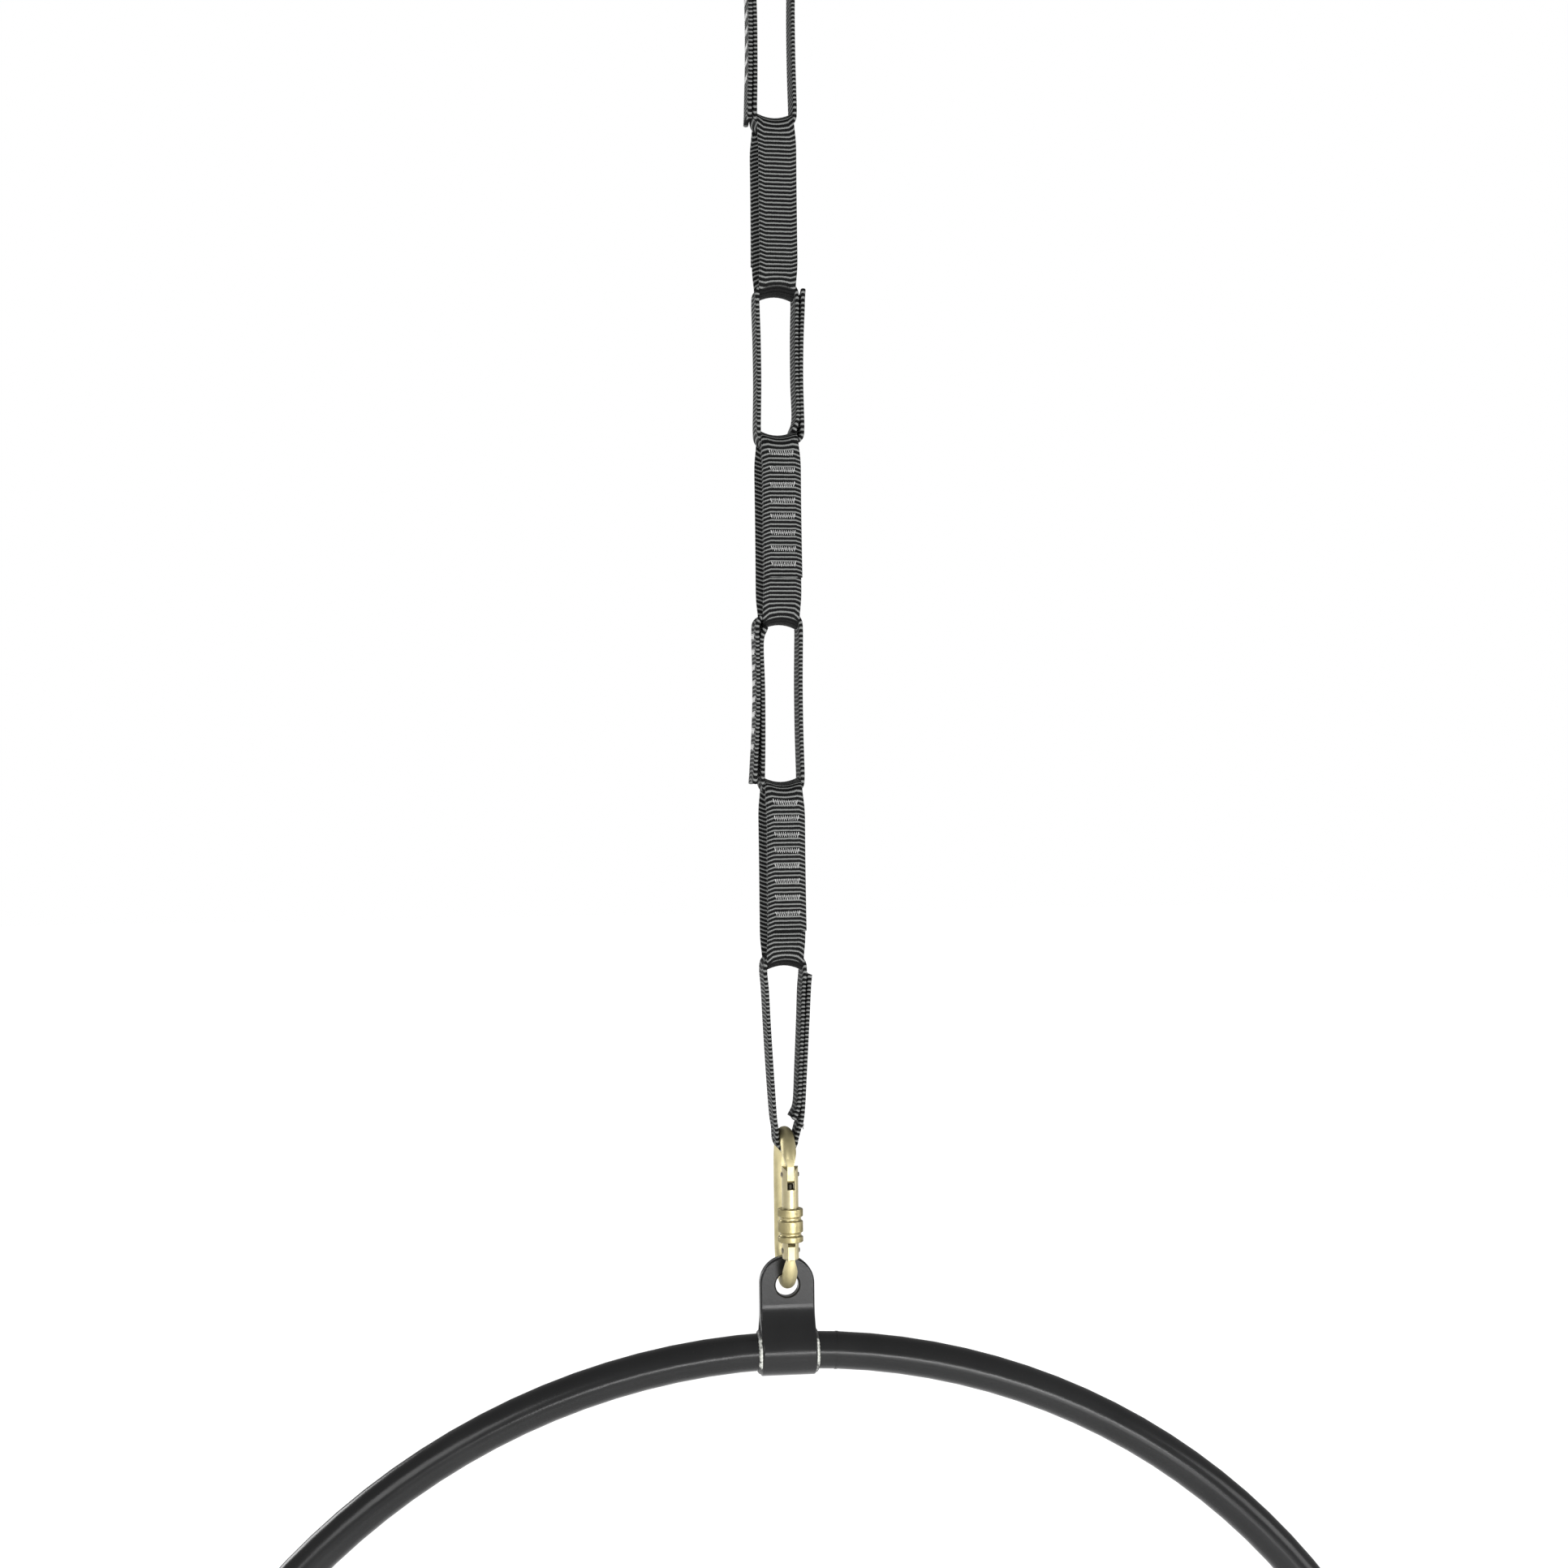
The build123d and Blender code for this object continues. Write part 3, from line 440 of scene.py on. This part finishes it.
class Loop:
    """One sewn loop in its own plane: a across the loop, b across the webbing, z up."""

    def __init__(self, number):
        self.number = number
        self.seed = random.Random(100 + number)
        webbing = "link_%d_webbing" % number
        low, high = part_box(webbing)
        self.open = number % 2 == 0
        self.bight_up = number == 1
        self.bight_down = number == LINKS
        self.top, self.bottom = self.inner_ends(low, high)
        self.side, self.tail_up = self.doubled_leg(low, high)
        self.tail_reach = OUTER_TAIL_REACH[number - 1] * MM

    def inner_ends(self, low, high):
        """Heights where this loop's two webs bear, from its own box and the rods' boxes."""
        shift = (CAD_WEB_GAP - WEB_GAP) / 2
        top = high[2] - CURL_FLARE - CAD_WEB_THICKNESS - shift
        bottom = low[2] + CURL_FLARE + CAD_WEB_THICKNESS + shift
        if self.bight_up:
            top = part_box("upper_carabiner_frame")[0][2] + 2 * ROD_RADIUS
        if self.bight_down:
            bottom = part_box("lower_carabiner_frame")[1][2] - 2 * ROD_RADIUS
        return top, bottom

    def doubled_leg(self, low, high):
        axis = 0 if self.open else 1
        middle = (low[axis] + high[axis]) / 2
        return (1 if middle > 0 else -1), self.number in (4, 8)

    def rod_height(self):
        if self.bight_up:
            return self.top - ROD_RADIUS
        return self.bottom + ROD_RADIUS

    def web_shade(self, point):
        """1 where shade is painted on a web: both webs of an open loop, only the lower one of the others."""
        below = self.bottom - point.y
        above = point.y - self.top
        if self.open:
            reach = max(below if not self.bight_down else -1.0, above if not self.bight_up else -1.0)
            edge = LEG_AT_WEBS - WEB_SHADE_EDGE - abs(point.x)
        else:
            reach = below - WEB_SHADE_EDGE
            edge = LEG_AT_WEBS - 0.4 * MM - abs(point.x)
        if reach < -2 * WEB_SHADE_EDGE:
            return 0.0
        return smoothstep(0.0, WEB_SHADE_BLUR, edge)

    def end_points(self, upward, outside):
        """Half of one end as (a, z) pairs, from the loop's centre line to its leg."""
        half = STRAP_THICKNESS / 2
        level = self.top + WEB_GAP / 2 if upward else self.bottom - WEB_GAP / 2
        way = 1 if upward else -1
        extra = STRAP_THICKNESS if outside else 0.0
        if (upward and self.bight_up) or (not upward and self.bight_down):
            rod = self.rod_height()
            radius = ROD_RADIUS + ROD_GAP + half
            points = []
            for angle in (0, 22.5, 45, 67.5, 90):
                turn = math.radians(angle)
                points.append((radius * math.sin(turn), rod + way * radius * math.cos(turn)))
            points.append((radius + 0.3 * MM + extra * 0.6, rod - way * 6 * MM))
            return points
        crown = level + way * half
        points = []
        for a in (0.0, 4.0 * MM, 8.0 * MM):
            points.append((a, crown - way * a * a / (2 * CURL_RADIUS)))
        points.append((LEG_AT_WEBS - 2.6 * MM + extra * 0.4, crown - way * (2.9 * MM - extra * 0.15)))
        points.append((LEG_AT_WEBS - 0.5 * MM + extra * 0.9, crown - way * (5.4 * MM)))
        points.append((LEG_AT_WEBS + extra, crown - way * 10 * MM))
        return points

    def leg_a(self, z):
        """A leg's middle layer from the centre line at a height, waisted between its ends."""
        span = self.top - self.bottom
        t = (z - self.bottom) / span
        upper = LEG_AT_RODS if self.bight_up else LEG_AT_WEBS
        lower = LEG_AT_RODS if self.bight_down else LEG_AT_WEBS
        waist = (LEG_AT_WEBS - LEG_AT_WAIST) * math.sin(math.pi * t) ** 2
        if self.bight_up or self.bight_down:
            waist *= -ROD_LOOP_BULGE
        return lower + (upper - lower) * t - waist

    def route(self):
        """The strap's middle line from its inner cut end to its outer one, in (a, z)."""
        root_up = not self.tail_up
        root = self.top if root_up else self.bottom
        way = -1 if root_up else 1               # from the root web towards the far web
        far = self.end_points(not root_up, False)
        near = self.end_points(root_up, True)
        near_plain = self.end_points(root_up, False)
        span = self.top - self.bottom
        guides = [span * share for share in LEG_SHARES]
        root_on_rod = self.bight_down and not root_up
        inner_start = INNER_TAIL_START_AT_ROD if root_on_rod else INNER_TAIL_START

        def at(distance):
            return root + way * distance

        line = []
        for distance in (inner_start, inner_start + INNER_TAIL_RUN, *guides, span - LEG_END):
            line.append((self.leg_a(at(distance)) - LAYER_GAP, at(distance)))
        line[0] = (line[0][0] - INNER_TAIL_FLARE, line[0][1])
        line += [(a, z) for a, z in reversed(far)]
        line += [(-a, z) for a, z in far[1:]]
        for distance in (span - LEG_END, *reversed(guides), LEG_END):
            line.append((-self.leg_a(at(distance)), at(distance)))
        line += [(-a, z) for a, z in reversed(near_plain)]
        line += near[1:]
        layer = STRAP_THICKNESS + LAYER_GAP
        for distance in (LEG_END, *guides, self.tail_reach - 10 * MM, self.tail_reach):
            line.append((self.leg_a(at(distance)) + layer + self.tail_lift(distance), at(distance)))
        return [Vector((self.side * a, z, 0.0)) for a, z in line]

    def tail_lift(self, distance):
        """How far the outer tail stands off the leg, growing towards its cut end."""
        share = max(0.0, (distance - LEG_END) / (self.tail_reach - LEG_END))
        return OUTER_TAIL_FLARE.get(self.number, PLAIN_TAIL_FLARE) * share ** 2

    def bend(self, a, b, z):
        """Curls the flat strap where it lies in a web or round a rod."""
        gather = 0.0
        if self.bight_up or self.bight_down:
            rod = self.rod_height()
            way = 1 if self.bight_up else -1
            weight = smoothstep(ROD_CURL_REACH, ROD_CURL_FULL, way * (rod - z))
            centre = rod + way * ARC_RADIUS
            across = b * (1 - ROD_NARROWING * weight)
            reach = abs(z - centre)
            drop = reach - math.sqrt(max(reach * reach - across * across, 1e-9))
            z = z + way * drop * weight
            b = across
        curl = b * b / (2 * CURL_RADIUS)
        if not self.bight_up:
            weight = smoothstep(self.top - CURL_REACH, self.top - 1 * MM, z)
            z += curl * weight
            gather = max(gather, weight)
        if not self.bight_down:
            weight = smoothstep(self.bottom + CURL_REACH, self.bottom + 1 * MM, z)
            z -= curl * weight
            gather = max(gather, weight)
        return a, b * (1 - WEB_NARROWING * gather), z

    def place(self, a, b, z):
        a, b, z = self.bend(a, b, z)
        if self.open:
            return a, b, z
        free = smoothstep(0.0, TWIST_RUN, z - self.bottom) * smoothstep(0.0, TWIST_RUN, self.top - z)
        turn = 0.0 if self.bight_up else LINK_TWIST * free
        return b * math.cos(turn) - a * math.sin(turn), b * math.sin(turn) + a * math.cos(turn), z

    def strap(self):
        """The webbing itself, ribs in its geometry."""
        line = smooth_curve(self.route(), RIB_PITCH / RINGS_PER_RIB)
        section = strap_section()
        phase = self.seed.uniform(0, 1)
        rows = []
        total = len(line) - 1
        for i, point in enumerate(line):
            before = line[max(0, i - 1)]
            after = line[min(total, i + 1)]
            along = (after - before).normalized()
            normal = Vector((-along.y, along.x, 0.0))
            to_end = min(i, total - i) / RINGS_PER_RIB
            frayed = 1.0 + 0.22 * max(0.0, 1 - to_end / 2.0)
            row = []
            for j, (b, h) in enumerate(section):
                slant = 0.55 * smoothstep(0.75, 1.0, abs(b) / (STRAP_WIDTH / 2))
                crest = math.cos(2 * math.pi * (i / RINGS_PER_RIB + phase) - slant * 2 * math.pi)
                grow = RIB_DEPTH * crest
                through = h * frayed + (math.copysign(grow, h) if h else 0.0)
                across = b + (math.copysign(grow, b) if abs(b) > STRAP_WIDTH * 0.46 else 0.0)
                a = point.x + normal.x * through
                z = point.y + normal.y * through
                row.append(self.place(a, across, z))
            rows.append(row)
        count = len(section)

        def uv(ring, corner):
            b = section[corner][0] / STRAP_WIDTH
            slant = 0.55 * smoothstep(0.75, 1.0, abs(b) * 2)
            return (ring / RINGS_PER_RIB + phase - slant + 0.25, b)

        piece = grid_mesh("link_%d_strap" % self.number, rows, False, True, uv)
        # The web attribute weighs the painted shade on the webs.
        shade = piece.data.attributes.new("web", "FLOAT", "POINT")
        for i, point in enumerate(line):
            value = self.web_shade(point)
            for j in range(count):
                shade.data[i * count + j].value = value
        piece.data.materials.append(WEBBING)
        return piece

    def stitching(self):
        """Eight bar tacks of zigzag thread on the outer layer."""
        root_up = not self.tail_up
        root = self.top if root_up else self.bottom
        way = -1 if root_up else 1
        layer = 1.5 * STRAP_THICKNESS + THREAD_LIFT + RIB_DEPTH
        verts, faces = [], []
        for tack in range(TACKS):
            centre = (TACK_START + TACK_PITCH * tack) * MM + self.seed.uniform(-0.4, 0.4) * MM
            tilt = self.seed.uniform(-0.05, 0.05)
            path = []
            for tooth in range(2 * TACK_TEETH + 1):
                b = -TACK_WIDTH / 2 + TACK_WIDTH * tooth / (2 * TACK_TEETH)
                rise = (TACK_HEIGHT / 2) * (1 if tooth % 2 else -1) * self.seed.uniform(0.85, 1.05)
                distance = centre + rise + tilt * b
                z = root + way * distance
                a = self.leg_a(z) + layer + self.tail_lift(distance)
                path.append(Vector(self.place(self.side * a, b, z)))
            add_tube(verts, faces, path, THREAD_RADIUS, 5)
        mesh = bpy.data.meshes.new("link_%d_stitching" % self.number)
        mesh.from_pydata(verts, [], faces)
        mesh.validate()
        for polygon in mesh.polygons:
            polygon.use_smooth = True
        piece = bpy.data.objects.new(mesh.name, mesh)
        bpy.context.scene.collection.objects.link(piece)
        mesh.materials.append(THREAD)
        return piece


def add_tube(verts, faces, path, radius, sides):
    """A closed round tube along a path, added to growing lists."""
    start = len(verts)
    for i, point in enumerate(path):
        along = (path[min(i + 1, len(path) - 1)] - path[max(i - 1, 0)]).normalized()
        out = along.orthogonal().normalized()
        other = along.cross(out)
        for k in range(sides):
            turn = 2 * math.pi * k / sides
            verts.append(point + radius * (math.cos(turn) * out + math.sin(turn) * other))
    for i in range(len(path) - 1):
        for k in range(sides):
            a = start + i * sides + k
            b = start + i * sides + (k + 1) % sides
            faces.append((a, b, b + sides, a + sides))
    faces.append(tuple(start + k for k in reversed(range(sides))))
    end = start + (len(path) - 1) * sides
    faces.append(tuple(end + k for k in range(sides)))


def build_links():
    for number in range(1, LINKS + 1):
        loop = Loop(number)
        body = "link_%d" % number
        strap = loop.strap()
        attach(strap, body)
        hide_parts(body + "_webbing")
        stitching = loop.stitching()
        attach(stitching, body)
        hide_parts(body + "_tacks")


# ---- Knurled locking sleeves ---------------------------------------------------------
def sleeve_profile(length):
    """(height, radius, knurled) rows up the outside of the sleeve."""
    rows = [(0.0, 7.8, False), (0.25, 8.15, False)]
    height = 0.0
    for size, radius, knurled in SLEEVE_BANDS:
        low, high = height, height + size
        if knurled:
            steps = round((size - 1.0) / 0.27)
            rows.append((low + 0.35, radius - 0.12, False))
            rows += [(low + 0.5 + (size - 1.0) * i / steps, radius, True) for i in range(steps + 1)]
            rows.append((high - 0.35, radius - 0.12, False))
        else:
            for i in range(7):
                t = i / 6
                rows.append((low + size * t, radius + 0.55 * (2 * t - 1) ** 4, False))
        height = high
    rows += [(SLEEVE_HEIGHT - 0.25, 8.15, False), (SLEEVE_HEIGHT, 7.8, False)]
    scale = length / SLEEVE_HEIGHT
    return [(h * scale, r * MM, k) for h, r, k in rows]


def knurled_sleeve(side):
    node = side + "_carabiner_sleeve"
    low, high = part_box(node)
    centre = ((low[0] + high[0]) / 2, (low[1] + high[1]) / 2)
    around = 200
    rows = []
    for height, radius, knurled in sleeve_profile(high[2] - low[2]):
        row = []
        for k in range(around):
            turn = 2 * math.pi * k / around
            r = radius
            if knurled:
                lead = height / radius
                first = abs(math.sin(0.5 * KNURL_TEETH * (turn + lead)))
                second = abs(math.sin(0.5 * KNURL_TEETH * (turn - lead)))
                r = radius - KNURL_DEPTH * (1 - min(first, second) * 1.25)
            row.append((centre[0] + r * math.cos(turn), centre[1] + r * math.sin(turn), low[2] + height))
        rows.append(row)
    for height, radius in SLEEVE_BORE:
        rows.append([(centre[0] + radius * MM * math.cos(2 * math.pi * k / around),
                      centre[1] + radius * MM * math.sin(2 * math.pi * k / around),
                      low[2] + height * MM) for k in range(around)])
    piece = grid_mesh(side + "_locking_sleeve", rows, True, False)
    piece.data.materials.append(KNURL_ZINC)
    sharpen(piece)
    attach(piece, side + "_sleeve")
    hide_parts(node)


def sharpen(piece, degrees=32):
    """Keeps turned edges crisp while curved faces stay smooth."""
    bpy.context.view_layer.objects.active = piece
    piece.select_set(True)
    bpy.ops.object.shade_auto_smooth(angle=math.radians(degrees))
    bpy.ops.object.convert(target="MESH")
    piece.select_set(False)


# ---- Weld beads ----------------------------------------------------------------------
def weld_beads():
    """Two rippled fillet beads where the hanger's wrap meets the tube."""
    low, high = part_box("hanger_welds")
    hoop_top = (low[2] + high[2]) / 2
    draw = random.Random(7)
    verts, faces = [], []
    around = 132
    arc = 7
    for side in (-1, 1):
        wave = [draw.uniform(-1, 1) for _ in range(12)]
        start = len(verts)
        for i in range(around):
            turn = 2 * math.pi * i / around
            ripple = abs(math.sin(turn * 17)) ** 0.6
            drift = 0.12 * sum(wave[k] * math.cos(turn * (k % 4 + 1) + wave[(k + 3) % 12] * 6)
                               for k in range(4))
            size = (2.3 + 0.45 * ripple + drift) * MM
            for j in range(arc):
                t = math.radians(-12 + 114 * j / (arc - 1))
                x = HANGER_HALF_WIDTH - 0.3 * MM + size * math.cos(t) * 0.9
                x_drop = x * x / (2 * HOOP_RADIUS)
                r = TUBE_RADIUS - 0.35 * MM + size * math.sin(t) * 1.0 + 0.25 * MM
                verts.append((side * x, -r * math.sin(turn), hoop_top + r * math.cos(turn) - x_drop))
            x = HANGER_HALF_WIDTH - 0.6 * MM
            r = TUBE_RADIUS - 0.5 * MM
            x_drop = x * x / (2 * HOOP_RADIUS)
            verts.append((side * x, -r * math.sin(turn), hoop_top + r * math.cos(turn) - x_drop))
        count = arc + 1
        for i in range(around):
            for j in range(count):
                a = start + i * count + j
                b = start + i * count + (j + 1) % count
                c = start + ((i + 1) % around) * count + (j + 1) % count
                d = start + ((i + 1) % around) * count + j
                faces.append((a, b, c, d) if side > 0 else (d, c, b, a))
    mesh = bpy.data.meshes.new("hanger_weld_beads")
    mesh.from_pydata(verts, [], faces)
    for polygon in mesh.polygons:
        polygon.use_smooth = True
    piece = bpy.data.objects.new(mesh.name, mesh)
    bpy.context.scene.collection.objects.link(piece)
    mesh.materials.append(WELD)
    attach(piece, "hoop")
    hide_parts("hanger_welds")


# ---- Camera, floor and light ---------------------------------------------------------
FOCAL_MM = 60.32
SENSOR_MM = 36.0
CAMERA_YAW = math.radians(7.57)  # the camera stands to the object's left
CAMERA_ROLL = math.radians(-0.68)
HOOP_TOP_SEEN = Vector((2.3 * MM, 1772 * MM, -381.9 * MM))   # right, ahead, up of the camera


def place_camera():
    hoop_top = Vector((0.0, 0.0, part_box("hoop_tube")[1][2] - TUBE_RADIUS))
    yaw = Matrix.Rotation(CAMERA_YAW, 3, "Z")
    roll = Matrix.Rotation(CAMERA_ROLL, 3, "Y")
    to_object = (roll @ yaw).transposed()
    right = to_object @ Vector((1, 0, 0))
    ahead = to_object @ Vector((0, 1, 0))
    up = to_object @ Vector((0, 0, 1))
    camera_data = bpy.data.cameras.new("camera")
    camera_data.lens = FOCAL_MM
    camera_data.sensor_width = SENSOR_MM
    camera_data.clip_end = 100.0
    camera = bpy.data.objects.new("camera", camera_data)
    bpy.context.scene.collection.objects.link(camera)
    place = Matrix((right, up, -ahead)).transposed().to_4x4()
    place.translation = hoop_top - to_object @ HOOP_TOP_SEEN
    camera.matrix_world = place
    bpy.context.scene.camera = camera
    return camera


def soft_light(name, spot, target, size, energy, size_y=None):
    data = bpy.data.lights.new(name, "AREA")
    data.shape = "RECTANGLE"
    data.size = size
    data.size_y = size_y or size
    data.energy = energy
    light = bpy.data.objects.new(name, data)
    light.location = spot
    light.rotation_euler = (Vector(target) - Vector(spot)).to_track_quat("-Z", "Y").to_euler()
    bpy.context.scene.collection.objects.link(light)


def studio():
    bottom = cad_bounds[0][2]
    mesh = bpy.data.meshes.new("floor")
    half = FLOOR_HALF
    level = bottom - FLOOR_DROP
    mesh.from_pydata([(-half, -half, level), (half, -half, level), (half, half, level), (-half, half, level)],
                     [], [(0, 1, 2, 3)])
    floor = bpy.data.objects.new("floor", mesh)
    bpy.context.scene.collection.objects.link(floor)
    mesh.materials.append(floor_paint())
    world = bpy.data.worlds.new("studio")
    bpy.context.scene.world = world
    world.use_nodes = True
    tree = world.node_tree
    background = tree.nodes["Background"]
    path = tree.nodes.new("ShaderNodeLightPath")
    strength = tree.nodes.new("ShaderNodeMix")
    strength.inputs["A"].default_value = WORLD_GLOW
    strength.inputs["B"].default_value = BACKDROP_GLOW
    tree.links.new(path.outputs["Is Camera Ray"], strength.inputs["Factor"])
    tree.links.new(strength.outputs["Result"], background.inputs["Strength"])
    background.inputs["Color"].default_value = (1.0, 1.0, 1.0, 1.0)
    middle = (0.0, 0.0, -1.0)
    soft_light("key", (-1.5, -2.4, -0.2), middle, size=1.2, energy=36.0)
    soft_light("low_strip", (0.5, -2.4, -1.40), (0.0, 0.0, -1.24), size=1.5, energy=34.0, size_y=0.26)
    soft_light("plate_panel", (0.85, -2.4, -1.85), (0.0, 0.0, -1.2), size=0.8, energy=12.0)
    soft_light("right_fill", (2.2, -1.0, -0.8), middle, size=0.9, energy=18.0)
    soft_light("back_left", (-2.0, 2.0, -0.4), middle, size=1.0, energy=26.0)
    bpy.context.scene.view_settings.view_transform = "Standard"


place_camera()
finish_cad_nodes()
build_links()
knurled_sleeve("upper")
knurled_sleeve("lower")
weld_beads()
studio()
